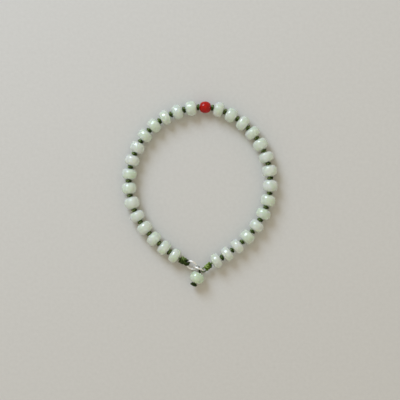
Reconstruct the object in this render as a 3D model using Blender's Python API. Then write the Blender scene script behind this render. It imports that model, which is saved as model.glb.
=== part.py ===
"""A knotted jade bead bracelet, lying flat as a closed loop.

Thirty drilled jade beads and one red bead sit on a green thread with a knot between each two. The thread ends
in two whipped eyes, which two small interlinked silver rings join, and one more jade bead hangs off them.
Lengths are in metres, +Z is up, and +Y points to the red bead.
"""

import math

import bmesh
import bpy
import numpy as np
from mathutils import Matrix, Vector

# Beads
JADE_WIDTH = 0.0055
JADE_LENGTH = 0.0039
JADE_SIDES = 12
RED_WIDTH = 0.0042
RED_LENGTH = 0.0040
RED_SIDES = 16

# Cord
THREAD_WIDTH = 0.0008
THREAD_CLEARANCE = 0.0003
KNOT_WIDTH = 0.0022
KNOT_LENGTH = 0.00085
KNOT_CLEARANCE = 0.00014
CORD_SIDES = 10

# Whipped ends, each with an eye
WRAP_LEFT_WIDTH = 0.0024
WRAP_LEFT_LENGTH = 0.0026
WRAP_RIGHT_WIDTH = 0.0021
WRAP_RIGHT_LENGTH = 0.0033
WRAP_TURN = 0.00085
WRAP_SIDES = 12
WRAP_CLEARANCE = 0.0003
WRAP_FLOOR = 0.0003
EYE_STRAND = 0.0005
EYE_SIDES = 8

# Silver rings: each swings level away from the line between the eyes, and leans up from lying flat
RING_WIDTH = 0.0044
RING_WIRE = 0.0006
RING_STEPS = 16
WIRE_SIDES = 6
LINK_CLEARANCE = 0.00015
LINK_RING_SWING = math.radians(-4)
LINK_RING_LEAN = math.radians(45)
CLASP_RING_SWING = math.radians(3)
CLASP_RING_LEAN = math.radians(90)

# The tail: its bead's bearing from the clasp ring, and its small neck and end knots
TAIL_BEARING = math.radians(206)
TAIL_STRAND = 0.0004
TAIL_REACH = 0.00130
TAIL_SHIFT = 0.00092
TAIL_LOOP_STEPS = 8
NECK_WIDTH = 0.0008
NECK_LENGTH = 0.0005
END_KNOT_WIDTH = 0.0022
END_KNOT_LENGTH = 0.00105

# The hand-cut beads differ in length: the share of JADE_LENGTH of each, in order from the left end to the right one
JADE_SHARES_LEFT = (0.90, 0.95, 1.00, 1.05, 0.95, 1.12, 1.06, 1.00, 1.00, 1.00, 1.00, 1.00, 0.92, 0.99, 1.04)
JADE_SHARES_RIGHT = (0.94, 1.03, 1.00, 0.97, 1.05, 0.95, 1.07, 1.12, 1.04, 1.00, 1.00, 1.06, 0.90, 0.87, 0.90)

# The loop's route: bearing clockwise from the top in degrees, and reach as a share of the mean reach
ROUTE = (
    (-170.4, 1.046), (-163.0, 1.011), (-150.0, 0.962), (-130.0, 0.938), (-110.0, 0.945), (-90.0, 0.965),
    (-70.0, 0.985), (-50.0, 1.015), (-30.0, 1.046), (-10.0, 1.067), (10.0, 1.085), (30.0, 1.049),
    (50.0, 1.012), (70.0, 0.981), (90.0, 0.957), (110.0, 0.939), (130.0, 0.938), (150.0, 0.960),
    (163.0, 1.010), (171.0, 1.050), (177.4, 1.135),
)
ROUTE_STEPS = 24

# A bead's outline from one mouth to the other: along as a share of half its length, out as a share of its radius
JADE_OUTLINE = (
    (-1.0, 0.46), (-0.88, 0.76), (-0.58, 0.93), (-0.2, 1.0), (0.2, 1.0), (0.58, 0.93), (0.88, 0.76), (1.0, 0.46),
)
RED_OUTLINE = (
    (-1.0, 0.42), (-0.87, 0.64), (-0.65, 0.83), (-0.35, 0.96), (0.0, 1.0), (0.35, 0.96), (0.65, 0.83), (0.87, 0.64),
    (1.0, 0.42),
)

# A knot's outline: along as a share of half its length, out as a share of its radius
KNOT_OUTLINE = ((-0.82, 0.84), (0.0, 1.0), (0.82, 0.84))

# One turn of a whipping: along as a share of the turn, out as a share of the radius
TURN_OUTLINE = ((0.0, 0.80), (0.22, 0.95), (0.5, 1.0), (0.78, 0.95))

UP = Vector((0.0, 0.0, 1.0))
SMOOTH_ANGLE = math.radians(40)
WELD = 1e-6
RING_SAMPLES = 180
TAUT_STEPS = 24


def clear_scene():
    for old in list(bpy.data.objects):
        bpy.data.objects.remove(old, do_unlink=True)


def finish(name, colour, roughness, metallic=0.0):
    """A material of the piece's own, with its colour, roughness and metallic value."""
    material = bpy.data.materials.new(name)
    material.use_nodes = True
    shader = material.node_tree.nodes["Principled BSDF"]
    shader.inputs["Base Color"].default_value = (*colour, 1.0)
    shader.inputs["Roughness"].default_value = roughness
    shader.inputs["Metallic"].default_value = metallic
    return material


def add_piece(name, mesh, material, matrix=None):
    """One named object with its own material, shaded smooth across its shallow edges."""
    mesh.materials.clear()
    mesh.materials.append(material)
    mesh.shade_smooth()
    mesh.set_sharp_from_angle(angle=SMOOTH_ANGLE)
    piece = bpy.data.objects.new(name, mesh)
    bpy.context.scene.collection.objects.link(piece)
    if matrix is not None:
        piece.matrix_world = matrix
    return piece


def frame(origin, along, up=UP):
    """The matrix that puts a piece's own X along a direction and its Z as near to up as that lets it."""
    x = along.normalized()
    y = up.cross(x).normalized()
    z = x.cross(y)
    matrix = Matrix((x, y, z)).transposed().to_4x4()
    matrix.translation = origin
    return matrix


def turned(name, outline, sides, closed):
    """Spins an outline of (along, out) points about X. Its facets touch the true round from outside, one of them
    facing down, so the distance across two facets is the real width."""
    bm = bmesh.new()
    spread = 1 / math.cos(math.pi / sides)
    half_facet = Matrix.Rotation(math.pi / sides, 3, "X")
    points = [bm.verts.new(half_facet @ Vector((along, 0.0, -out * spread))) for along, out in outline]
    edges = [bm.edges.new(pair) for pair in zip(points, points[1:])]
    if closed:
        edges.append(bm.edges.new((points[-1], points[0])))
    bmesh.ops.spin(
        bm, geom=points + edges, cent=(0, 0, 0), axis=(1, 0, 0), angle=math.tau, steps=sides, use_merge=True
    )
    bmesh.ops.remove_doubles(bm, verts=bm.verts, dist=WELD)
    bmesh.ops.recalc_face_normals(bm, faces=bm.faces)
    mesh = bpy.data.meshes.new(name)
    bm.to_mesh(mesh)
    bm.free()
    return mesh


def drilled_bead(name, width, length, outline, sides):
    """A bead turned from its outline, with a straight hole for the thread."""
    hole = THREAD_WIDTH / 2 + THREAD_CLEARANCE
    rows = [(along * length / 2, out * width / 2) for along, out in outline]
    rows += [(length / 2, hole), (-length / 2, hole)]
    return turned(name, rows, sides, closed=True)


def ring(name, width, wire, steps, wire_sides):
    """A closed ring of round wire about X, one flat of its section facing out."""
    reach = (width - wire) / 2 * math.cos(math.pi / steps)
    rows = []
    for step in range(wire_sides):
        turn = math.tau * (step + 0.5) / wire_sides
        rows.append((math.cos(turn) * wire / 2, reach + math.sin(turn) * wire / 2))
    return turned(name, rows, steps, closed=True)


def tube(name, points, widths, sides, closed=False):
    """A tube along a line of points, with its own width at each, made as a bevelled curve and turned into a mesh."""
    curve = bpy.data.curves.new(name, "CURVE")
    curve.dimensions = "3D"
    curve.twist_mode = "MINIMUM"
    curve.bevel_depth = 1.0
    curve.bevel_resolution = sides // 2 - 2
    curve.use_fill_caps = True
    curve.render_resolution_u = 0
    spline = curve.splines.new("POLY")
    spline.points.add(len(points) - 1)
    for spot, point, width in zip(spline.points, points, widths):
        spot.co = (*point, 1.0)
        spot.radius = width / 2
    spline.use_cyclic_u = closed
    guide = bpy.data.objects.new(name, curve)
    bpy.context.scene.collection.objects.link(guide)
    bpy.context.view_layer.update()
    mesh = bpy.data.meshes.new_from_object(guide.evaluated_get(bpy.context.evaluated_depsgraph_get()))
    bpy.data.objects.remove(guide, do_unlink=True)
    bm = bmesh.new()
    bm.from_mesh(mesh)
    bmesh.ops.remove_doubles(bm, verts=bm.verts, dist=WELD)
    bmesh.ops.recalc_face_normals(bm, faces=bm.faces)
    bm.to_mesh(mesh)
    bm.free()
    return mesh


def join(piece, other):
    """Fuses another closed mesh into a piece, as one body."""
    cutter = bpy.data.objects.new(piece.name + "_joined", other)
    bpy.context.scene.collection.objects.link(cutter)
    cutter.hide_render = True
    cutter.display_type = "WIRE"
    union = piece.modifiers.new("union", "BOOLEAN")
    union.operation = "UNION"
    union.solver = "EXACT"
    union.object = cutter
    return cutter


def smooth_loop(knots):
    """A closed smooth line through the points, as many short straight steps."""
    count = len(knots)
    line = []
    for i in range(count):
        before, a, b, after = (knots[(i + k) % count] for k in (-1, 0, 1, 2))
        span = (b - a).length
        lead = (a - before).length
        tail = (after - b).length
        slope_a = ((a - before) / lead * span + (b - a) / span * lead) / (lead + span)
        slope_b = ((b - a) / span * tail + (after - b) / tail * span) / (span + tail)
        for step in range(ROUTE_STEPS):
            t = step / ROUTE_STEPS
            line.append(
                a * (2 * t**3 - 3 * t**2 + 1)
                + slope_a * span * (t**3 - 2 * t**2 + t)
                + b * (3 * t**2 - 2 * t**3)
                + slope_b * span * (t**3 - t**2)
            )
    return line


class Route:
    """The string's centre line, scaled so that its whole length is the one that the pieces need."""

    def __init__(self, length, height):
        shape = []
        for bearing, reach in ROUTE:
            turn = math.radians(bearing)
            shape.append(Vector((math.sin(turn) * reach, math.cos(turn) * reach, 0.0)))
        line = smooth_loop(shape)
        line.append(line[0])
        steps = [(b - a).length for a, b in zip(line, line[1:])]
        scale = length / sum(steps)
        self.points = [point * scale + UP * height for point in line]
        self.marks = [0.0]
        for step in steps:
            self.marks.append(self.marks[-1] + step * scale)

    def at(self, distance):
        """The point that lies this far along the route from the left eye."""
        last = len(self.marks) - 2
        i = min(last, max(0, sum(1 for mark in self.marks if mark <= distance) - 1))
        share = (distance - self.marks[i]) / (self.marks[i + 1] - self.marks[i])
        return self.points[i].lerp(self.points[i + 1], share)


def ring_reach():
    """From the middle of a ring to the middle of its wire."""
    return (RING_WIDTH - RING_WIRE) / 2


def ring_ways(across, swing, lean):
    """The two directions that a ring lies in: a level one, and the one that leans up from the table."""
    level = Matrix.Rotation(swing, 3, "Z") @ across
    return level, UP.cross(level) * math.cos(lean) + UP * math.sin(lean)


def wire_line(centre, level, leaning):
    """Points round the middle of a ring's wire."""
    turns = np.arange(RING_SAMPLES)[:, None] * math.tau / RING_SAMPLES
    return np.array(centre) + ring_reach() * (np.cos(turns) * np.array(level) + np.sin(turns) * np.array(leaning))


def taut_closure():
    """How far apart the two eyes lie when the rings pull taut, their wires a clearance short of touching."""
    across = Vector((1.0, 0.0, 0.0))
    link_level, link_leaning = ring_ways(across, LINK_RING_SWING, LINK_RING_LEAN)
    clasp_level, clasp_leaning = ring_ways(across, CLASP_RING_SWING, CLASP_RING_LEAN)
    link_wire = wire_line(link_level * ring_reach(), link_level, link_leaning)
    slack = 3 * ring_reach()
    tight = 4 * ring_reach()
    for _ in range(TAUT_STEPS):
        distance = (slack + tight) / 2
        clasp_wire = wire_line(across * distance - clasp_level * ring_reach(), clasp_level, clasp_leaning)
        nearest = np.linalg.norm(link_wire[:, None] - clasp_wire[None], axis=2).min()
        if nearest > RING_WIRE + LINK_CLEARANCE:
            slack = distance
        else:
            tight = distance
    return slack


def eye_radius():
    """From the middle of the ring's wire to the middle of the eye's strand."""
    return RING_WIRE / 2 + LINK_CLEARANCE + EYE_STRAND / 2


def eye_setback():
    """From the middle of the ring's wire back to the end of the sleeve."""
    return RING_WIRE / 2 + LINK_CLEARANCE


def wrap_depth(length):
    """How deep the thread's bore goes, with the eye's buried half and a floor left solid."""
    return length - (eye_radius() + EYE_STRAND / 2 - eye_setback()) - WRAP_FLOOR


def wrap_piece(name, outer, eye, width, wire_way, material):
    """A whipped cord end: a ribbed sleeve with a blind bore for the thread, and the eye that stands out of it."""
    length = (eye - outer).length - eye_setback()
    turns = round(length / WRAP_TURN)
    bore = THREAD_WIDTH / 2 + THREAD_CLEARANCE
    depth = wrap_depth(length)
    rows = [(depth, 0.0), (depth, bore), (0.0, bore)]
    for turn in range(turns):
        for along, out in TURN_OUTLINE:
            rows.append(((turn + along) * length / turns, out * width / 2))
    rows.append((length, TURN_OUTLINE[0][1] * width / 2))
    rows.append((length, 0.0))
    sleeve = turned(name, rows, WRAP_SIDES, closed=False)
    piece = add_piece(name, sleeve, material, frame(outer, eye - outer))
    loop = ring(name + "_eye", 2 * eye_radius() + EYE_STRAND, EYE_STRAND, WRAP_SIDES, EYE_SIDES)
    loop.transform(frame(eye, wire_way, (outer - eye).normalized()))
    return join(piece, loop)


class Marks:
    """Where each piece starts and ends along the string, counted from the wire in the left eye."""

    def __init__(self):
        self.left_outer = eye_setback() + WRAP_LEFT_LENGTH
        lengths = [share * JADE_LENGTH for share in JADE_SHARES_LEFT] + [RED_LENGTH]
        lengths += [share * JADE_LENGTH for share in JADE_SHARES_RIGHT]
        gap = KNOT_LENGTH + 2 * KNOT_CLEARANCE
        distance = self.left_outer + WRAP_CLEARANCE
        self.spans = []
        for length in lengths:
            self.spans.append((distance, distance + length))
            distance += length + gap
        self.right_outer = distance - gap + WRAP_CLEARANCE
        self.end = self.right_outer + WRAP_RIGHT_LENGTH + eye_setback()


def string_beads(marks, route, jade_finish, red_finish):
    """Every bead on the straight line between its two mouths, which are returned."""
    number = 0
    mouths = []
    for i, (start, end) in enumerate(marks.spans):
        a = route.at(start)
        b = route.at(end)
        mouths.append((a, b))
        matrix = frame((a + b) / 2, b - a)
        if i == len(JADE_SHARES_LEFT):
            red = drilled_bead("red_bead", RED_WIDTH, RED_LENGTH, RED_OUTLINE, RED_SIDES)
            add_piece("red_bead", red, red_finish, matrix)
        else:
            number += 1
            name = f"jade_bead_{number:02d}"
            jade = drilled_bead(name, JADE_WIDTH, end - start, JADE_OUTLINE, JADE_SIDES)
            add_piece(name, jade, jade_finish, matrix)
    return mouths


def knotted_cord(mouths, left_start, left_eye, right_start, right_eye, material):
    """The thread with its knots, from the bore of one whipped end to that of the other."""
    left_reach = left_eye - left_start
    left_depth = wrap_depth(left_reach.length - eye_setback()) - THREAD_CLEARANCE
    points = [left_start + left_reach.normalized() * left_depth, left_start]
    widths = [THREAD_WIDTH] * 2
    for (_, a), (b, _) in zip(mouths, mouths[1:]):
        middle = (a + b) / 2
        way = (b - a).normalized()
        for along, out in ((-1.0, THREAD_WIDTH / KNOT_WIDTH), *KNOT_OUTLINE, (1.0, THREAD_WIDTH / KNOT_WIDTH)):
            points.append(middle + way * along * KNOT_LENGTH / 2)
            widths.append(out * KNOT_WIDTH)
    right_reach = right_eye - right_start
    right_depth = wrap_depth(right_reach.length - eye_setback()) - THREAD_CLEARANCE
    points += [right_start, right_start + right_reach.normalized() * right_depth]
    widths += [THREAD_WIDTH] * 2
    add_piece("knotted_cord", tube("knotted_cord", points, widths, CORD_SIDES), material)


def hang_tail(clasp_centre, clasp_level, jade_finish, cord_finish):
    """The tail bead, its thread with the neck and end knots, and its loop on the lowest point of the clasp ring."""
    away = Vector((math.sin(TAIL_BEARING), math.cos(TAIL_BEARING), 0.0))
    root = clasp_centre + clasp_level * TAIL_SHIFT + away * (TAIL_REACH - NECK_LENGTH)
    neck_middle = root + away * NECK_LENGTH / 2
    neck_end = root + away * NECK_LENGTH
    bead_start = neck_end + away * KNOT_CLEARANCE
    bead_end = bead_start + away * JADE_LENGTH
    jade = drilled_bead("tail_bead", JADE_WIDTH, JADE_LENGTH, JADE_OUTLINE, JADE_SIDES)
    add_piece("tail_bead", jade, jade_finish, frame((bead_start + bead_end) / 2, away))
    knot_start = bead_end + away * KNOT_CLEARANCE
    points = [root, neck_middle, neck_end, knot_start]
    widths = [2 * TAIL_STRAND, NECK_WIDTH, THREAD_WIDTH, THREAD_WIDTH]
    for along, out in (*KNOT_OUTLINE, (1.0, THREAD_WIDTH / END_KNOT_WIDTH)):
        points.append(knot_start + away * (1 + along) * END_KNOT_LENGTH / 2)
        widths.append(out * END_KNOT_WIDTH)
    tail = add_piece("tail_cord", tube("tail_cord", points, widths, CORD_SIDES), cord_finish)

    wire = clasp_centre - UP * ring_reach()
    rise = (root - wire).normalized()
    wide = clasp_level.cross(rise).normalized()
    bend = RING_WIRE / 2 + LINK_CLEARANCE + TAIL_STRAND / 2
    loop = []
    for step in range(TAIL_LOOP_STEPS + 1):
        turn = math.pi * step / TAIL_LOOP_STEPS
        loop.append(wire + wide * math.cos(turn) * bend - rise * math.sin(turn) * bend)
    half_root = wide * TAIL_STRAND / 2
    loop.append(loop[-1].lerp(neck_middle - half_root, 0.5))
    loop.append(neck_middle - half_root)
    loop.append(neck_middle + half_root)
    loop.append(loop[0].lerp(neck_middle + half_root, 0.5))
    return join(tail, tube("tail_loop", loop, [TAIL_STRAND] * len(loop), EYE_SIDES, closed=True))


def build():
    """Models every piece, and returns the hidden cutters."""
    clear_scene()
    jade_finish = finish("jade", (0.50, 0.61, 0.47), 0.25)
    red_finish = finish("red_stone", (0.42, 0.004, 0.006), 0.15)
    cord_finish = finish("green_cord", (0.035, 0.055, 0.012), 0.75)
    silver_finish = finish("silver", (0.86, 0.85, 0.82), 0.25, 1.0)

    marks = Marks()
    route = Route(marks.end + taut_closure(), JADE_WIDTH / 2)
    mouths = string_beads(marks, route, jade_finish, red_finish)

    left_start = route.at(marks.left_outer)
    left_eye = route.at(0.0)
    right_start = route.at(marks.right_outer)
    right_eye = route.at(marks.end)
    across = (right_eye - left_eye).normalized()
    link_level, link_leaning = ring_ways(across, LINK_RING_SWING, LINK_RING_LEAN)
    clasp_level, clasp_leaning = ring_ways(across, CLASP_RING_SWING, CLASP_RING_LEAN)
    link_centre = left_eye + link_level * ring_reach()
    clasp_centre = right_eye - clasp_level * ring_reach()
    wire = ring("ring", RING_WIDTH, RING_WIRE, RING_STEPS, WIRE_SIDES)
    add_piece("link_ring", wire, silver_finish, frame(link_centre, link_level.cross(link_leaning), link_level))
    clasp_frame = frame(clasp_centre, clasp_level.cross(clasp_leaning), clasp_level)
    add_piece("clasp_ring", wire.copy(), silver_finish, clasp_frame)

    hidden = [
        wrap_piece("cord_wrap_left", left_start, left_eye, WRAP_LEFT_WIDTH, link_leaning, cord_finish),
        wrap_piece("cord_wrap_right", right_start, right_eye, WRAP_RIGHT_WIDTH, clasp_leaning, cord_finish),
    ]
    knotted_cord(mouths, left_start, left_eye, right_start, right_eye, cord_finish)
    hidden.append(hang_tail(clasp_centre, clasp_level, jade_finish, cord_finish))
    return hidden


def centre_on_origin(hidden):
    """Moves the whole bracelet so that its box stands on the origin, with the box's middle over it."""
    bpy.context.view_layer.update()
    graph = bpy.context.evaluated_depsgraph_get()
    low = Vector((math.inf,) * 3)
    high = -low
    pieces = [o for o in bpy.context.scene.objects if o not in hidden]
    for piece in pieces:
        seen = piece.evaluated_get(graph)
        for vertex in seen.data.vertices:
            spot = seen.matrix_world @ vertex.co
            low = Vector(map(min, low, spot))
            high = Vector(map(max, high, spot))
    shift = Vector(((low.x + high.x) / 2, (low.y + high.y) / 2, low.z))
    for piece in pieces + hidden:
        piece.matrix_world = Matrix.Translation(-shift) @ piece.matrix_world


centre_on_origin(build())
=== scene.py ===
# %% [markdown]
# # A knotted jade bead bracelet
#
# This lesson dresses a bracelet of jade beads. The construction model already says where every bead, ring
# and cord end lies, at its real size and in metres. Here each of them gets the form and the finish that a
# jeweller would see: polished stone, waxed cord in real knots, whipped cord ends and two small silver rings.

# %% Load the construction model
import math

import bpy
import numpy as np
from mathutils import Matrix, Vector


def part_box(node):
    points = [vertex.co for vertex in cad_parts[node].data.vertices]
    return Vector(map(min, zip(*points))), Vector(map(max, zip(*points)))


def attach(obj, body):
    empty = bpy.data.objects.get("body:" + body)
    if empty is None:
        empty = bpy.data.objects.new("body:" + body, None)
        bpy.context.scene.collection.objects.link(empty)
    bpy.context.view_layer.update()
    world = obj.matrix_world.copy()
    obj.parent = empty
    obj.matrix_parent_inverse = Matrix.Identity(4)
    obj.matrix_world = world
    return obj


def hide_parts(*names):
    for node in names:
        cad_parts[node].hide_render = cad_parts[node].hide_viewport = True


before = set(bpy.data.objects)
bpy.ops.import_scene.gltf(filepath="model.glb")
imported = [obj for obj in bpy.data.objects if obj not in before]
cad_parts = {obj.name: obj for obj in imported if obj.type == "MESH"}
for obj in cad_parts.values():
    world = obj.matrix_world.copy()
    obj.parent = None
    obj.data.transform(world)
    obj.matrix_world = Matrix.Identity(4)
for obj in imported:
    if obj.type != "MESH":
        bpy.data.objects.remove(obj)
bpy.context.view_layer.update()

UP = Vector((0.0, 0.0, 1.0))
MM = 0.001
rng = np.random.default_rng(30)

# %% [markdown]
# ## The camera
#
# The bracelet was seen from straight above. A long lens from half a metre keeps every bead the same size, as
# it is in the picture. One pixel of the 400-pixel frame is 0.36 mm on the table, and that sets the lens. The
# camera stands over the middle of the frame, which is a little below the middle of the bracelet.

# %% Set up the camera
PIXEL = 0.36 * MM
FRAME_PIXELS = 400
BRACELET_MIDDLE_PX = (199.6, 193.5)
CAMERA_HEIGHT = 0.5
SENSOR_WIDTH = 36.0
STRING_HEIGHT = (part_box("jade_bead_08")[1].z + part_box("jade_bead_08")[0].z) / 2


def from_photo(px, py):
    """The place on the table that a pixel of the picture shows."""
    return Vector(((px - BRACELET_MIDDLE_PX[0]) * PIXEL, (BRACELET_MIDDLE_PX[1] - py) * PIXEL, 0.0))


camera_data = bpy.data.cameras.new("camera")
camera_data.sensor_width = SENSOR_WIDTH
camera_data.lens = SENSOR_WIDTH * (CAMERA_HEIGHT - STRING_HEIGHT) / (FRAME_PIXELS * PIXEL)
camera_data.clip_start = 0.01
camera = bpy.data.objects.new("camera", camera_data)
camera.location = from_photo(FRAME_PIXELS / 2, FRAME_PIXELS / 2) + UP * CAMERA_HEIGHT
bpy.context.scene.collection.objects.link(camera)
bpy.context.scene.camera = camera
print("lens: %.1f mm" % camera_data.lens)

# %% [markdown]
# ## Light
#
# Each bead has its bright spot halfway from its middle to its upper edge, a little to the left. On a ball
# that means a light not quite halfway up from the horizon, so the one soft lamp hangs there. The shadows are
# soft and keep about two thirds of the light, so most of it comes from all around. That part is warmer,
# because it has bounced off cloth and wood on its way, and the lamp is cooler to match: together they leave
# the table neutral.


# %% Hang the lights
KEY_PLACE = (-0.33, 0.52, 0.50)
KEY_SIZE = 0.42
KEY_WATTS = 4.2
KEY_COLOUR = (0.68, 0.81, 1.0)
SKY_COLOUR = (1.0, 0.905, 0.73, 1.0)
SKY_STRENGTH = 0.61

lamp = bpy.data.lights.new("key_lamp", "AREA")
lamp.shape = "DISK"
lamp.size = KEY_SIZE
lamp.energy = KEY_WATTS
lamp.color = KEY_COLOUR
key_lamp = bpy.data.objects.new("key_lamp", lamp)
key_lamp.location = KEY_PLACE
key_lamp.rotation_euler = (-Vector(KEY_PLACE)).to_track_quat("-Z", "Y").to_euler()
bpy.context.scene.collection.objects.link(key_lamp)

sky = bpy.data.worlds.new("sky")
sky.use_nodes = True
sky.node_tree.nodes["Background"].inputs["Color"].default_value = SKY_COLOUR
sky.node_tree.nodes["Background"].inputs["Strength"].default_value = SKY_STRENGTH
bpy.context.scene.world = sky
bpy.context.scene.view_settings.view_transform = "Standard"
print("lights:", len(bpy.data.lights))

# %% [markdown]
# ## Shader maths that reads like maths
#
# A material is a graph of nodes. Wiring it by hand is long, so one small class wraps an output socket:
# adding or multiplying two of them puts the right Math node in the graph. Colours go through Mix instead,
# because a Math node would turn a colour grey.


# %% Wrap a socket
class Wire:
    """An output of a node in a material, with the operators of plain arithmetic."""

    def __init__(self, tree, socket=None):
        self.tree = tree
        self.socket = socket

    def node(self, kind, settings=None, sockets=None, output=0):
        """Adds a node: first its settings, then the values or links of its sockets."""
        made = self.tree.nodes.new(kind)
        for name, value in (settings or {}).items():
            setattr(made, name, value)
        for name, value in (sockets or {}).items():
            self.plug(made.inputs[name], value)
        return Wire(self.tree, made.outputs[output])

    def plug(self, entry, value):
        """Links a wire into an input, or sets the input to a plain value."""
        if isinstance(value, Wire):
            self.tree.links.new(value.socket, entry)
        elif isinstance(value, tuple) and entry.type == "RGBA":
            entry.default_value = (*value, 1.0)
        else:
            entry.default_value = value

    def worked(self, operation, other):
        """One Mix node where this wire is a colour, and one Math node where it is a number."""
        if self.socket.type == "RGBA":
            settings = {"data_type": "RGBA", "blend_type": operation, "clamp_factor": False}
            return self.node("ShaderNodeMix", settings, {0: 1.0, 6: self, 7: other}, output=2)
        return self.node("ShaderNodeMath", {"operation": operation}, {0: self, 1: other})

    def __add__(self, other):
        return self.worked("ADD", other)

    __radd__ = __add__

    def __mul__(self, other):
        return self.worked("MULTIPLY", other)

    __rmul__ = __mul__

    def blend(self, low, high):
        """This value as a factor between two colours."""
        return self.node("ShaderNodeMix", {"data_type": "RGBA"}, {0: self, 6: low, 7: high}, output=2)

    def limits(self, low, high):
        """This value stretched so that low becomes 0 and high becomes 1, and cut off there."""
        sockets = {"Value": self, "From Min": low, "From Max": high}
        return self.node("ShaderNodeMapRange", {"clamp": True}, sockets)

    def noise(self, size, detail=3.0, roughness=0.5, distortion=0.0):
        """Cloudy noise whose features are about this big, in metres, read at this wire's position."""
        sockets = {"Vector": self, "Scale": 1 / size, "Detail": detail}
        sockets |= {"Roughness": roughness, "Distortion": distortion}
        return self.node("ShaderNodeTexNoise", {}, sockets)

    def attribute(self, name):
        """A value that the mesh carries on its points."""
        return self.node("ShaderNodeAttribute", {"attribute_name": name}, {}, output=2)


def new_material(name):
    """An empty material, with its shader and the position on the surface, in metres."""
    material = bpy.data.materials.new(name)
    material.use_nodes = True
    tree = material.node_tree
    shader = tree.nodes["Principled BSDF"]
    place = Wire(tree).node("ShaderNodeTexCoord", output=3)
    return material, shader, place


def dress(shader, place, bump, strength, depth=0.02 * MM, **sockets):
    """Sets the shader's sockets by their names, and its bump."""
    for name, value in sockets.items():
        place.plug(shader.inputs[name.replace("_", " ")], value)
    normal = place.node("ShaderNodeBump", {}, {"Strength": strength, "Distance": depth, "Height": bump})
    place.plug(shader.inputs["Normal"], normal)


print("shader maths ready")

# %% [markdown]
# ## Jade
#
# Pale jade is a cloudy stone: milky white drifts through soft green, and every bead is cut from another
# spot, so no two have quite the same tone. Light goes some way in and comes out softened, which is what
# Subsurface and a little Transmission are for. The clouds are noise of about two millimetres, and each mesh
# carries its own tone on its points. A clear coat gives the polish its small bright spot.


# %% Mix the jade
def polished_jade():
    """Cloudy green and white stone under a polish."""
    material, shader, place = new_material("polished_jade")
    tone = place.attribute("tone")
    clouds = place.noise(2.2 * MM, detail=4.0, roughness=0.6, distortion=0.8)
    flecks = place.noise(0.6 * MM, detail=3.0, roughness=0.6)
    milk = (clouds + flecks * 0.35 + tone * 0.16).limits(0.40, 1.05)
    green = milk.blend((0.69, 0.86, 0.62), (0.92, 0.975, 0.935))
    cool = place.noise(5.0 * MM, detail=1.0).limits(0.4, 0.7)
    colour = cool.blend(green, green * (0.96, 0.99, 1.0))
    polish = place.noise(0.25 * MM, detail=2.0)
    dress(
        shader, place, bump=polish, strength=0.06,
        Base_Color=colour, Roughness=0.20 + polish * 0.08, IOR=1.45, Transmission_Weight=0.34,
        Subsurface_Weight=0.9, Subsurface_Radius=(1.0, 1.0, 0.85), Subsurface_Scale=2.0 * MM,
        Coat_Weight=1.0, Coat_Roughness=0.06, Coat_IOR=1.65,
    )
    return material


jade = polished_jade()
print("jade mixed")

# %% [markdown]
# ## Red stone, waxed cord and silver
#
# The one red bead is a dense, glossy stone, so it has almost no depth and a clear coat. The cord is laid from
# fine waxed fibres, and its light and shade are painted into its colour: nearly black with painted shade
# where it is packed, and mossy green with painted light where its plies stand out on the lit side. How much
# painted light a point gets is worked out with the mesh and kept on its points, under the name ply. Silver is
# a metal, so its colour is its reflection, broken up by fine wear.


# %% Mix the other finishes
def glossy_red_stone():
    """Dense red stone with a polish."""
    material, shader, place = new_material("glossy_red_stone")
    drift = place.noise(1.5 * MM, detail=3.0)
    colour = drift.limits(0.3, 0.7).blend((0.27, 0.001, 0.001), (0.46, 0.004, 0.001))
    dress(
        shader, place, bump=drift, strength=0.03,
        Base_Color=colour, Roughness=0.10 + drift * 0.06, IOR=1.2,
        Coat_Weight=0.65, Coat_Roughness=0.10, Specular_IOR_Level=0.0,
        Subsurface_Weight=0.10, Subsurface_Radius=(1.0, 0.1, 0.1), Subsurface_Scale=0.5 * MM,
    )
    return material


def waxed_cord(name, shaded, lit, highlight):
    """Waxed fibres: painted shade deep between plies, painted light on their sides, a painted highlight on
    lit crests.
    """
    material, shader, place = new_material(name)
    fibres = place.noise(0.10 * MM, detail=3.0, roughness=0.7)
    patches = place.noise(1.1 * MM, detail=2.0)
    # The ply value paints light and shade, from the shaded colour through lit to the painted highlight; the
    # fibre and patch noise add the cord's own unevenness.
    light = fibres * 0.25 + patches * 0.30 + place.attribute("ply") * 0.85
    shade = light.limits(0.22, 0.60).blend(shaded, lit)
    dress(
        shader, place, bump=fibres, strength=0.4, depth=0.03 * MM,
        Base_Color=light.limits(0.48, 0.98).blend(shade, highlight), Roughness=0.5 + fibres * 0.2,
        Specular_IOR_Level=0.12, Sheen_Weight=0.05, Sheen_Roughness=0.35, Sheen_Tint=(0.50, 0.75, 0.25),
    )
    return material


def worn_silver():
    """Bright metal with fine wear."""
    material, shader, place = new_material("worn_silver")
    wear = place.noise(0.35 * MM, detail=4.0, roughness=0.65)
    colour = wear.limits(0.35, 0.75).blend((0.95, 0.95, 0.945), (1.0, 1.0, 0.995))
    dress(
        shader, place, bump=wear, strength=0.06,
        Base_Color=colour, Roughness=0.34 + wear * 0.16, Metallic=1.0,
    )
    return material


red_stone = glossy_red_stone()
# The cord's three colours are painted light and shade: shaded, lit, and a painted highlight.
olive_cord = waxed_cord(
    "olive_cord", shaded=(0.002, 0.004, 0.0005), lit=(0.070, 0.120, 0.015), highlight=(0.36, 0.46, 0.20)
)
# A lit copy of the same cord finish, with brighter painted light, for the right end.
lit_olive_cord = waxed_cord(
    "lit_olive_cord", shaded=(0.004, 0.011, 0.0005), lit=(0.210, 0.340, 0.035), highlight=(0.48, 0.60, 0.28)
)
silver = worn_silver()
print("finishes:", [m.name for m in (red_stone, olive_cord, lit_olive_cord, silver)])

# %% [markdown]
# ## Where each bead lies
#
# A piece of the construction model keeps its place in its own points. The middle of a bead is the middle of
# its box. A barrel bead is narrowest along its hole, so turning a ruler round it and keeping the direction
# with the smallest reach gives the way the hole runs, and its length too.


# %% Measure the beads
RULER_STEP = 0.25


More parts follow.
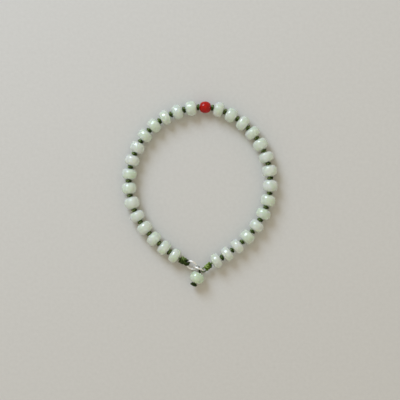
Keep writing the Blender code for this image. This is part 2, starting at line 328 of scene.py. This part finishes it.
class Seat:
    """Where a bead sits: its middle, the way its hole runs, its length and its width."""

    def __init__(self, node, towards):
        low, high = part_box(node)
        self.middle = (low + high) / 2
        self.width = high.z - low.z
        spots = np.array([v.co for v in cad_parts[node].data.vertices]) - np.array(self.middle)
        turns = np.radians(np.arange(0.0, 180.0, RULER_STEP))
        rulers = np.stack([np.cos(turns), np.sin(turns), np.zeros_like(turns)])
        reach = np.abs(spots @ rulers).max(0)
        best = int(reach.argmin())
        self.way = Vector(rulers[:, best])
        self.length = 2 * float(reach[best])
        if self.way.dot(towards - self.middle) < 0:
            self.way = -self.way

    def mouth(self, side):
        """The middle of the hole's mouth, before the bead with -1 or after it with 1."""
        return self.middle + self.way * side * self.length / 2


JADE_NODES = [f"jade_bead_{n:02d}" for n in range(1, 31)]
STRING_NODES = JADE_NODES[:15] + ["red_bead"] + JADE_NODES[15:]
middles = [sum(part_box(n), Vector()) / 2 for n in STRING_NODES]
ahead = middles[1:] + [middles[-1] * 2 - middles[-2]]
seats = [Seat(node, towards) for node, towards in zip(STRING_NODES, ahead)]
tail_seat = Seat("tail_bead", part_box("tail_cord")[0])
print("bead lengths, mm:", [round(seat.length / MM, 2) for seat in seats])

# %% [markdown]
# ## From points to a finished piece
#
# Every visible piece is made in the same way: points and faces become a mesh, values for the finish go on its
# points, and the piece takes the place of one part of the construction model. The bracelet has no joints, so
# all of them ride on its one body.


# %% Make a piece
def mesh_piece(name, node, vertices, faces, material, slot, **shades):
    """A finished piece in the place of a node: smooth, dressed, and riding on the one body."""
    mesh = bpy.data.meshes.new(name)
    mesh.from_pydata([tuple(v) for v in vertices], [], faces)
    for key, values in shades.items():
        mesh.attributes.new(key, "FLOAT", "POINT").data.foreach_set("value", np.asarray(values, np.float32))
    mesh.materials.append(material)
    mesh.shade_smooth()
    piece = bpy.data.objects.new(name, mesh)
    bpy.context.scene.collection.objects.link(piece)
    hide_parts(node)
    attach(piece, "root")


print("ready to make pieces")

# %% [markdown]
# ## Turning a bead
#
# A bead could be a squashed sphere with a hole cut by a Boolean. Turning its outline is cleaner: the outline
# goes along the belly, over the rim of the mouth and back through the hole, and one loop of points spins
# round the hole's axis. The belly follows one short formula. Hand-cut beads are never quite round, so each
# gets a faint oval, a slightly slanted mouth and a belly of its own.


# %% Build the beads
MOUTH = 0.44
HOLE = 0.7 * MM
RIM = HOLE * 1.35
LIP_DEPTH = 0.985
THROAT_DEPTH = 0.93
BELLY_STEPS = 22
BEAD_SIDES = 56
OVAL_SHARE = 0.7


def bead_outline(width, mouth, fullness):
    """Mouth to mouth over the belly, then back through the hole: how far along (-1 to 1), how far out."""
    outline = []
    for step in range(BELLY_STEPS + 1):
        along = -math.cos(math.pi * step / BELLY_STEPS)
        share = mouth + (1 - mouth) * math.sqrt(max(0.0, 1 - abs(along) ** fullness))
        outline.append((along, share * width / 2))
    rounded = (outline[-1][1] + RIM) / 2
    outline += [(1.0, rounded), (LIP_DEPTH, RIM), (THROAT_DEPTH, HOLE), (0.0, HOLE)]
    outline += [(-THROAT_DEPTH, HOLE), (-LIP_DEPTH, RIM), (-1.0, rounded)]
    return outline


def turned_bead(node, seat, material, slot, tone, mouth=MOUTH, oval=0.012, slant=0.05, fullness=2.2):
    """Spins the outline round the hole, with small flaws that belong to this bead alone."""
    outline = bead_outline(seat.width, mouth, fullness)
    phase = rng.uniform(0, math.tau, 3)
    side = UP.cross(seat.way)
    vertices = []
    for turn in np.arange(BEAD_SIDES) * math.tau / BEAD_SIDES:
        out = side * math.cos(turn) + UP * math.sin(turn)
        flaw = OVAL_SHARE * math.cos(2 * turn + phase[0]) + (1 - OVAL_SHARE) * math.cos(3 * turn + phase[1])
        round_share = 1 - oval + oval * flaw
        lean = slant * math.cos(turn + phase[2])
        for along, reach in outline:
            tilt = lean * (reach / seat.width) * min(1.0, 2 * abs(along))
            shift = min(1.0, max(-1.0, along * (1 + tilt) * (1 - slant / 2)))
            share = round_share if reach > RIM else 1.0
            vertices.append(seat.middle + seat.way * shift * seat.length / 2 + out * reach * share)
    count = len(outline)
    faces = []
    for turn in range(BEAD_SIDES):
        for step in range(count):
            a = turn * count + step
            b = turn * count + (step + 1) % count
            c = ((turn + 1) % BEAD_SIDES) * count + (step + 1) % count
            d = ((turn + 1) % BEAD_SIDES) * count + step
            faces.append((a, d, c, b))
    mesh_piece(node + "_polished", node, vertices, faces, material, slot, tone=[tone] * len(vertices))


for node, seat in zip(STRING_NODES, seats):
    if node == "red_bead":
        turned_bead(node, seat, red_stone, "red_stone", 0.5, mouth=0.3, oval=0.004, slant=0.0, fullness=2.1)
    else:
        fullness = rng.uniform(2.35, 2.85)
        turned_bead(node, seat, jade, "jade", rng.uniform(0, 1), fullness=fullness)
turned_bead("tail_bead", tail_seat, jade, "jade", -0.9)
print("beads turned:", len(seats) + 1)

# %% [markdown]
# ## Twisted cord
#
# The cord is laid from three plies, so its section is not round but has three lobes, and they turn as the
# cord runs. A plain bevelled curve cannot twist its section like that, so this tube is built ring by ring: a
# frame is carried along the path without rolling, and the lobed section turns inside it.


# %% Lay a cord along a path
PLIES = 3
LAY = 1.3 * MM
PLY_DEPTH = 0.13
END_RINGS = 4


def twisted_tube(path, width, sides, closed=False, lay=LAY, ends=1.0):
    """Points, faces and ply values of a cord along a path. Where the plies meet, the ply value is 0, which
    paints shade into the grooves.

    An open cord narrows to the share called ends over its first and last few rings.
    """
    spots = [Vector(p) for p in path]
    count = len(spots)
    vertices = []
    ply = []
    run = 0.0
    normal = None
    for i, spot in enumerate(spots):
        before = spots[i - 1] if i > 0 or closed else spots[0]
        after = spots[(i + 1) % count] if i < count - 1 or closed else spots[-1]
        way = (after - before).normalized()
        if normal is None:
            normal = way.orthogonal().normalized()
        normal = (normal - way * normal.dot(way)).normalized()
        side = way.cross(normal)
        run += (spot - spots[i - 1]).length if i else 0.0
        full = 1.0 if closed else min(1.0, ends + (1 - ends) * min(i, count - 1 - i) / END_RINGS)
        for step in range(sides):
            turn = math.tau * step / sides
            lobe = math.cos(PLIES * (turn + run / lay * math.tau / PLIES))
            reach = full * width / 2 * (1 - PLY_DEPTH + PLY_DEPTH * lobe)
            vertices.append(spot + (normal * math.cos(turn) + side * math.sin(turn)) * reach)
            # Painted shade in the grooves between the plies, painted light on their lobes.
            ply.append(0.5 + 0.5 * lobe)
    faces = []
    for i in range(count if closed else count - 1):
        for step in range(sides):
            a = i * sides + step
            b = i * sides + (step + 1) % sides
            c = ((i + 1) % count) * sides + (step + 1) % sides
            d = ((i + 1) % count) * sides + step
            faces.append((a, b, c, d))
    if not closed:
        faces.append(tuple(reversed(range(sides))))
        faces.append(tuple(range((count - 1) * sides, count * sides)))
    return vertices, faces, ply


def eased(points, steps):
    """A smooth line through the points."""
    line = []
    padded = [points[0]] + points + [points[-1]]
    for a, b, c, d in zip(padded, padded[1:], padded[2:], padded[3:]):
        for step in range(steps):
            t = step / steps
            line.append(
                b + (c - a) * (t / 2) + (a * 2 - b * 5 + c * 4 - d) * (t * t / 2)
                + (b * 3 - a - c * 3 + d) * (t**3 / 2)
            )
    line.append(points[-1])
    return line


def joined(parts):
    """Several tubes as the points, faces and ply values of one mesh."""
    vertices, faces, ply = [], [], []
    for more_vertices, more_faces, more_ply in parts:
        faces += [tuple(index + len(vertices) for index in face) for face in more_faces]
        vertices += more_vertices
        ply += more_ply
    return vertices, faces, ply


print("cord ready")

# %% [markdown]
# ## Painted light and shade on the cord
#
# A tight knot lies in shade in its folds and underneath, and catches the lamp where it stands proud on the
# side facing it. That light and shade is painted into the colour: the ply value of each point is scaled by
# how far out from the knot's axis the point lies, and by how much it faces the lit side, up and to the left.


# %% Work out the painted light and shade
# The side that gets painted light, towards the lamp: up and to the left.
LAMPLIT_SIDE = Vector((-0.55, 0.65, 0.50)).normalized()
FOLD_REACH = 0.55
FOLD_SPAN = 0.4
# Points underneath keep this share of the painted light, as painted shade.
UNDERSIDE = 0.2
EVEN = (1.0, 1.0, 1.0)


def painted_light_and_shade(part, middle, way, width, light_shares=EVEN, length=1.0, side=LAMPLIT_SIDE):
    """The same tube, its ply values painting shade in folds and underneath and light where it is proud and
    lit.

    Three values, given after the width, scale the painted light at the start, in the middle and at the end of
    the length.
    """
    vertices, faces, ply = part
    lamplit = (side - way * side.dot(way)).normalized()
    crests = []
    for vertex, value in zip(vertices, ply):
        out = vertex - middle
        run = min(1.0, max(0.0, out.dot(way) / length))
        out -= way * out.dot(way)
        proud = min(1.0, max(0.0, (2 * out.length / width - FOLD_REACH) / FOLD_SPAN))
        facing = max(0.0, out.normalized().dot(lamplit))
        first, second = (light_shares[0], light_shares[1]) if run < 0.5 else (light_shares[1], light_shares[2])
        along = first + (second - first) * (run * 2 % 1.0)
        # Painted shade in the folds and underneath, painted light where the point is proud and faces the lit
        # side.
        crests.append(value * proud * along * (UNDERSIDE + (1 - UNDERSIDE) * facing * facing))
    return vertices, faces, crests


# The direction of the painted light.
print("worn side:", tuple(round(value, 2) for value in LAMPLIT_SIDE))

# %% [markdown]
# ## Knots
#
# An overhand knot that is pulled tight wraps twice round the string and crosses itself three times. That is a
# trefoil lying round the string's axis, and a trefoil has a formula: two turns round, while the strand weaves
# in and out and from side to side one and a half times a turn. It saves any fiddling with a tangled path, and
# every knot gets its own start angle, so the crossings never line up.


# %% Tie the knots
KNOT_WIDTH = 2.4 * MM
KNOT_STRAND = 0.70 * MM
KNOT_LENGTH = 1.07 * MM
KNOT_LAY = 0.9 * MM
KNOT_STEPS = 84
KNOT_WEAVE = 0.22


def knot_path(middle, way, width, length, strand, start):
    """The trefoil's path round the string."""
    side = UP.cross(way).normalized()
    reach = (width - strand) / 2
    weave = strand * KNOT_WEAVE
    sway = (length - strand) / 2
    path = []
    for step in range(KNOT_STEPS):
        turn = 2 * math.tau * step / KNOT_STEPS
        out = side * math.cos(turn + start) + UP * math.sin(turn + start)
        depth = reach - weave + weave * math.cos(1.5 * turn)
        path.append(middle + out * depth + way * sway * math.sin(1.5 * turn))
    return path


string_parts = []
for before, after in zip(seats, seats[1:]):
    a = before.mouth(1)
    b = after.mouth(-1)
    middle = (a + b) / 2
    way = (b - a).normalized()
    width = KNOT_WIDTH * rng.uniform(0.93, 1.06)
    length = KNOT_LENGTH * rng.uniform(0.94, 1.08)
    path = knot_path(middle, way, width, length, KNOT_STRAND, rng.uniform(0, math.tau))
    strand = twisted_tube(path, KNOT_STRAND, sides=14, closed=True, lay=KNOT_LAY)
    # Painted shade in the knot's folds and underneath, painted light on its side towards the lamp.
    string_parts.append(painted_light_and_shade(strand, middle, way, width))
print("knots tied:", len(string_parts))

# %% [markdown]
# ## Where the rings lie
#
# The cord ends in two small eyes, and each goes round the wire of a ring, so the rings have to be measured
# first. A ring is flat: the direction in which its points spread least is the way it faces. Half a ring's
# width from its middle, level with the string, lies the spot on its wire that the cord holds.


# %% Measure the rings
RING_WIRE = 0.6 * MM
RING_WIDTH = 4.4 * MM
ring_reach = (RING_WIDTH - RING_WIRE) / 2


def ring_axis(node):
    """The way a flat ring faces: the direction in which its points lie closest to one plane."""
    spots = np.array([v.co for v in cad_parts[node].data.vertices])
    spots = spots - spots.mean(0)
    return Vector(np.linalg.svd(spots, full_matrices=False)[2][2]).normalized()


def level_way(axis, towards):
    """The level direction that lies in a ring's own plane and points the given way."""
    level = UP.cross(axis).normalized()
    return level if level.dot(towards) > 0 else -level


link_middle = sum(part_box("link_ring"), Vector()) / 2
clasp_middle = sum(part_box("clasp_ring"), Vector()) / 2
link_axis = ring_axis("link_ring")
clasp_axis = ring_axis("clasp_ring")
link_level = level_way(link_axis, clasp_middle - link_middle)
clasp_level = level_way(clasp_axis, clasp_middle - link_middle)
left_eye = link_middle - link_level * ring_reach
right_eye = clasp_middle + clasp_level * ring_reach
print("rings apart: %.2f mm" % ((clasp_middle - link_middle).length / MM))

# %% [markdown]
# ## The thread through the beads
#
# Between the knots the thread runs hidden through the holes, but a glimpse of it shows at every mouth. One
# cord follows the line from bead to bead and ends inside the whipped ends.


# %% Run the thread
THREAD = 0.8 * MM
THREAD_END = 1.6 * MM

first = seats[0].mouth(-1)
last = seats[-1].mouth(1)
stations = [first + (left_eye - first).normalized() * THREAD_END]
for seat in seats:
    stations += [seat.mouth(-1), seat.mouth(1)]
stations.append(last + (right_eye - last).normalized() * THREAD_END)
string_parts.append(twisted_tube(eased(stations, 8), THREAD, sides=10))
vertices, faces, ply = joined(string_parts)
mesh_piece("knotted_twine", "knotted_cord", vertices, faces, olive_cord, "green_cord", ply=ply)
print("twine triangles:", 2 * len(faces))

# %% [markdown]
# ## Whipped ends
#
# At each end the cord is folded into a small eye and whipped: a strand is wound tightly round both legs. The
# winding is a helix that a loop works out turn by turn, over a plain core that keeps light from shining
# through. The eye is one more stretch of twisted cord that leaves the winding, passes round the ring's wire
# and goes back in. The left end is thick, with two strands in its eye, and painted light along its upper
# edge.
# The right end is slimmer and painted brighter with a lit copy of the cord's finish, with painted shade at
# its end by the bead.


# %% Wind the ends
WRAP_GAP = 0.3 * MM
WRAP_TURNS = 3
TURN_STEPS = 28
WRAP_LAY = 1.1 * MM
WRAP_SIDES = 18
TUCK_DEPTH = 0.65
TUCK_TURNS = 1 / 6
TAPER = 0.4
OVERLAP = 1.06
CORE_SHARES = (0.06, 0.5, 0.94)
CORE_LAY = 5.2 * MM
EYE_SETBACK = 0.45 * MM
EYE_CLEARANCE = 0.12 * MM
# The eye's strands keep this share of the painted light.
EYE_LIGHT_SHARES = (0.6, 0.6, 0.6)
EYE_STEPS = 12
EYE_LEGS = ((1.9, 0.6), (1.4, 0.78), (0.8, 0.996))
# The left end's painted light falls on its upper edge.
LAMPLIT_UPPER_EDGE = Vector((0.45, 0.80, 0.35))


def whipping(start, end, width, light_shares, lamplit):
    """A helix of cord from start to end that begins and stops on top, and the core that it is wound on."""
    way = (end - start).normalized()
    side = UP.cross(way).normalized()
    length = (end - start).length
    cord = length / (WRAP_TURNS + 1)
    reach = (width - cord) / 2
    path = []
    steps = WRAP_TURNS * TURN_STEPS
    for step in range(steps + 1):
        share = step / steps
        turn = math.tau * (WRAP_TURNS * share + 0.25)
        out = side * math.cos(turn) + UP * math.sin(turn)
        from_end = WRAP_TURNS * min(share, 1 - share)
        depth = reach * (1 - TUCK_DEPTH + TUCK_DEPTH * min(1.0, from_end / TUCK_TURNS))
        path.append(start + way * (cord / 2 + (length - cord) * share) + out * depth)
    core = [start.lerp(end, share) for share in CORE_SHARES]
    coil = twisted_tube(path, cord * OVERLAP, sides=WRAP_SIDES, lay=WRAP_LAY, ends=TAPER)
    wound = [coil, twisted_tube(core, 2 * reach, sides=WRAP_SIDES, lay=CORE_LAY)]
    # Painted shade in the winding's folds and underneath, painted light on its lit side, scaled along its
    # length.
    return [painted_light_and_shade(tube, start, way, width, light_shares, length, lamplit) for tube in wound]


def eye_loop(eye, back, wire_way, cord, shift):
    """A strand of the cord's eye: out of the whipping, round the wire, and back in."""
    side = back.cross(wire_way).normalized()
    reach = RING_WIRE / 2 + EYE_CLEARANCE + cord / 2
    middle = eye + wire_way * shift
    legs = [(back * reach * away, side * reach * apart) for away, apart in EYE_LEGS]
    path = [middle + along + out for along, out in legs]
    for step in range(EYE_STEPS + 1):
        turn = math.pi * step / EYE_STEPS
        path.append(middle + side * reach * math.cos(turn) - back * reach * math.sin(turn))
    path += [middle + along - out for along, out in reversed(legs)]
    strand = twisted_tube(eased(path, 3), cord, sides=WRAP_SIDES)
    # Painted shade and light on the eye's strand, dimmed to a share.
    return painted_light_and_shade(strand, middle, wire_way, 2 * reach + cord, EYE_LIGHT_SHARES)


def whipped_end(node, mouth, eye, wire_way, width, cord, shifts, light_shares, lamplit, finish):
    """One end of the string: the whipping, and the strands of its eye."""
    way = (eye - mouth).normalized()
    start = mouth + way * WRAP_GAP
    end = eye - way * EYE_SETBACK
    parts = whipping(start, end, width, light_shares, lamplit)
    for shift in shifts:
        parts.append(eye_loop(eye, -way, wire_way, cord, shift))
    vertices, faces, ply = joined(parts)
    mesh_piece(node + "_whipping", node, vertices, faces, finish, "green_cord", ply=ply)
    print(node, "length %.2f mm" % ((end - start).length / MM))


# The left end gets painted light along its upper edge. The right end is painted in the lit copy of the cord's
# finish, with painted shade at its bead end.
whipped_end(
    "cord_wrap_left", first, left_eye, link_level.cross(link_axis).normalized(), width=2.8 * MM,
    cord=0.70 * MM, shifts=(-0.42 * MM, 0.42 * MM), light_shares=(1.0, 1.0, 0.8), lamplit=LAMPLIT_UPPER_EDGE, finish=olive_cord,
)
whipped_end(
    "cord_wrap_right", last, right_eye, clasp_level.cross(clasp_axis).normalized(), width=2.35 * MM,
    cord=0.48 * MM, shifts=(0.0,), light_shares=(0.05, 1.2, 1.2), lamplit=LAMPLIT_SIDE, finish=lit_olive_cord,
)

# %% [markdown]
# ## Silver rings
#
# The two jump rings are bent from round wire and closed where the ends butt. A torus would do, but a real
# ring shows its seam, so the wire is a tube that stops a hair short of meeting itself, and its ends are
# slightly narrowed.


# %% Bend the rings
SEAM = math.radians(1.6)
SEAM_WIDTH = 0.90
RING_STEPS = 96
WIRE_SIDES = 20


def jump_ring(node, middle, axis, seam_way):
    """A ring of round wire with its butt seam towards seam_way."""
    first_way = (seam_way - axis * seam_way.dot(axis)).normalized()
    second_way = axis.cross(first_way)
    vertices = []
    for step in range(RING_STEPS + 1):
        turn = SEAM / 2 + (math.tau - SEAM) * step / RING_STEPS
        wire = RING_WIRE / 2 * (SEAM_WIDTH if step in (0, RING_STEPS) else 1.0)
        out = first_way * math.cos(turn) + second_way * math.sin(turn)
        for side in range(WIRE_SIDES):
            roll = math.tau * side / WIRE_SIDES
            rounding = out * (ring_reach + wire * math.cos(roll)) + axis * wire * math.sin(roll)
            vertices.append(middle + rounding)
    faces = []
    for step in range(RING_STEPS):
        for side in range(WIRE_SIDES):
            a = step * WIRE_SIDES + side
            b = step * WIRE_SIDES + (side + 1) % WIRE_SIDES
            faces.append((a, b, b + WIRE_SIDES, a + WIRE_SIDES))
    faces.append(tuple(reversed(range(WIRE_SIDES))))
    faces.append(tuple(range(RING_STEPS * WIRE_SIDES, (RING_STEPS + 1) * WIRE_SIDES)))
    mesh_piece(node + "_wire", node, vertices, faces, silver, "silver")


jump_ring("link_ring", link_middle, link_axis, link_level + UP.cross(link_level) * 2)
jump_ring("clasp_ring", clasp_middle, clasp_axis, -UP - clasp_level)
print("rings bent: 2")

# %% [markdown]
# ## The tail's thread
#
# One more bead hangs off the clasp on its own thin thread. The thread loops round the lowest part of the
# ring, is pinched together at the bead's mouth, runs through it and ends in a fat knot that the bead cannot
# slip over. It hangs in the shade of the clasp, and that shade is painted into its colour: its cord keeps a
# fifth of the painted light.


# %% Hang the tail
TAIL_STRAND = 0.32 * MM
TAIL_GAP = 0.14 * MM
TAIL_CLEARANCE = 0.06 * MM
TAIL_LAY = 0.8 * MM
TAIL_TUCK = 0.6 * MM
LEG_SPREAD = 0.12 * MM
PINCH = 0.6
FLARE = 0.55
# Painted shade: the tail's cord keeps this share of the painted light.
TAIL_LIGHT_SHARES = (0.2, 0.2, 0.2)
BEND_STEPS = 8
NECK = 0.5 * MM
NECK_WIDTH = 1.0 * MM
NECK_LENGTH = 0.62 * MM
NECK_STRAND = 0.36 * MM
NECK_LAY = 0.7 * MM

top = tail_seat.mouth(-1)
foot = tail_seat.mouth(1)
root = top - tail_seat.way * (TAIL_GAP + NECK / 2)
wire_low = clasp_middle - UP * ring_reach
rise = (root - wire_low).normalized()
wide = clasp_level.cross(rise).normalized()
bend = RING_WIRE / 2 + TAIL_CLEARANCE + TAIL_STRAND / 2
inside = top + tail_seat.way * TAIL_TUCK
spread = wide * LEG_SPREAD
pinched = wide * TAIL_STRAND * PINCH
loop = [inside - spread, root - pinched, root.lerp(wire_low - wide * bend, FLARE)]
for step in range(BEND_STEPS + 1):
    turn = math.pi * step / BEND_STEPS
    loop.append(wire_low - wide * bend * math.cos(turn) - rise * bend * math.sin(turn))
loop += [root.lerp(wire_low + wide * bend, FLARE), root + pinched, inside + spread]
hanging = twisted_tube(eased(loop, 4), TAIL_STRAND, sides=8, lay=TAIL_LAY)
neck_path = knot_path(root, tail_seat.way, NECK_WIDTH, NECK_LENGTH, NECK_STRAND, 1.0)
neck = twisted_tube(neck_path, NECK_STRAND, sides=8, closed=True, lay=NECK_LAY)
tail_parts = [painted_light_and_shade(tube, root, tail_seat.way, NECK_WIDTH, TAIL_LIGHT_SHARES) for tube in (hanging, neck)]
print("tail loop: %.2f mm long" % ((root - wire_low).length / MM))

# %% [markdown]
# ## The end knot
#
# The stopper under the bead is the same trefoil, tied in a thicker strand. A short piece of thread runs from
# the bead's mouth through its hole and into the knot, so nothing is hollow where one looks in.


# %% Tie the end knot
END_KNOT_WIDTH = 2.6 * MM
END_KNOT_LENGTH = 1.25 * MM
END_KNOT_STRAND = 0.82 * MM
END_KNOT_START = 0.4
STUB_TUCK = 0.4 * MM
STUB_REACH = 0.35

end_knot = foot + tail_seat.way * (TAIL_GAP + END_KNOT_LENGTH / 2)
end_path = knot_path(
    end_knot, tail_seat.way, END_KNOT_WIDTH, END_KNOT_LENGTH, END_KNOT_STRAND, END_KNOT_START
)
end_tie = twisted_tube(end_path, END_KNOT_STRAND, sides=WRAP_SIDES, closed=True, lay=WRAP_LAY)
# The end knot gets the same painted shade.
tail_parts.append(painted_light_and_shade(end_tie, end_knot, tail_seat.way, END_KNOT_WIDTH, TAIL_LIGHT_SHARES))
stub_start = top + tail_seat.way * STUB_TUCK
stub_end = end_knot + tail_seat.way * END_KNOT_LENGTH * STUB_REACH
stub = eased([stub_start, tail_seat.middle, foot, stub_end], 6)
tail_parts.append(twisted_tube(stub, THREAD, sides=10))
vertices, faces, ply = joined(tail_parts)
mesh_piece("tail_twine", "tail_cord", vertices, faces, olive_cord, "green_cord", ply=ply)
print("tail triangles:", 2 * len(faces))

# %% [markdown]
# ## The table
#
# The bracelet lies on a plain pale surface. It is only a stage: a large flat square with a very faint grain,
# so that the soft shadows have something to fall on.


# %% Lay the table
def pale_table():
    """A plain matt surface with a faint grain."""
    material, shader, place = new_material("pale_table")
    grain = place.noise(1.2 * MM, detail=4.0)
    colour = grain.limits(0.2, 0.8).blend((0.60, 0.59, 0.565), (0.64, 0.63, 0.605))
    dress(shader, place, bump=grain, strength=0.05, Base_Color=colour, Roughness=0.75)
    return material


TABLE_HALF = 2.0
corners = [(x * TABLE_HALF, y * TABLE_HALF, 0) for x, y in ((-1, -1), (1, -1), (1, 1), (-1, 1))]
table_mesh = bpy.data.meshes.new("table")
table_mesh.from_pydata(corners, [], [(0, 1, 2, 3)])
table_mesh.materials.append(pale_table())
table = bpy.data.objects.new("table", table_mesh)
bpy.context.scene.collection.objects.link(table)
print("table laid")

# %% [markdown]
# ## Finish
#
# The dressed bracelet is meant to fill the same box as the construction model. The last line brings the
# scene up to date before it is handed over.

# %% Finish
bpy.context.view_layer.update()
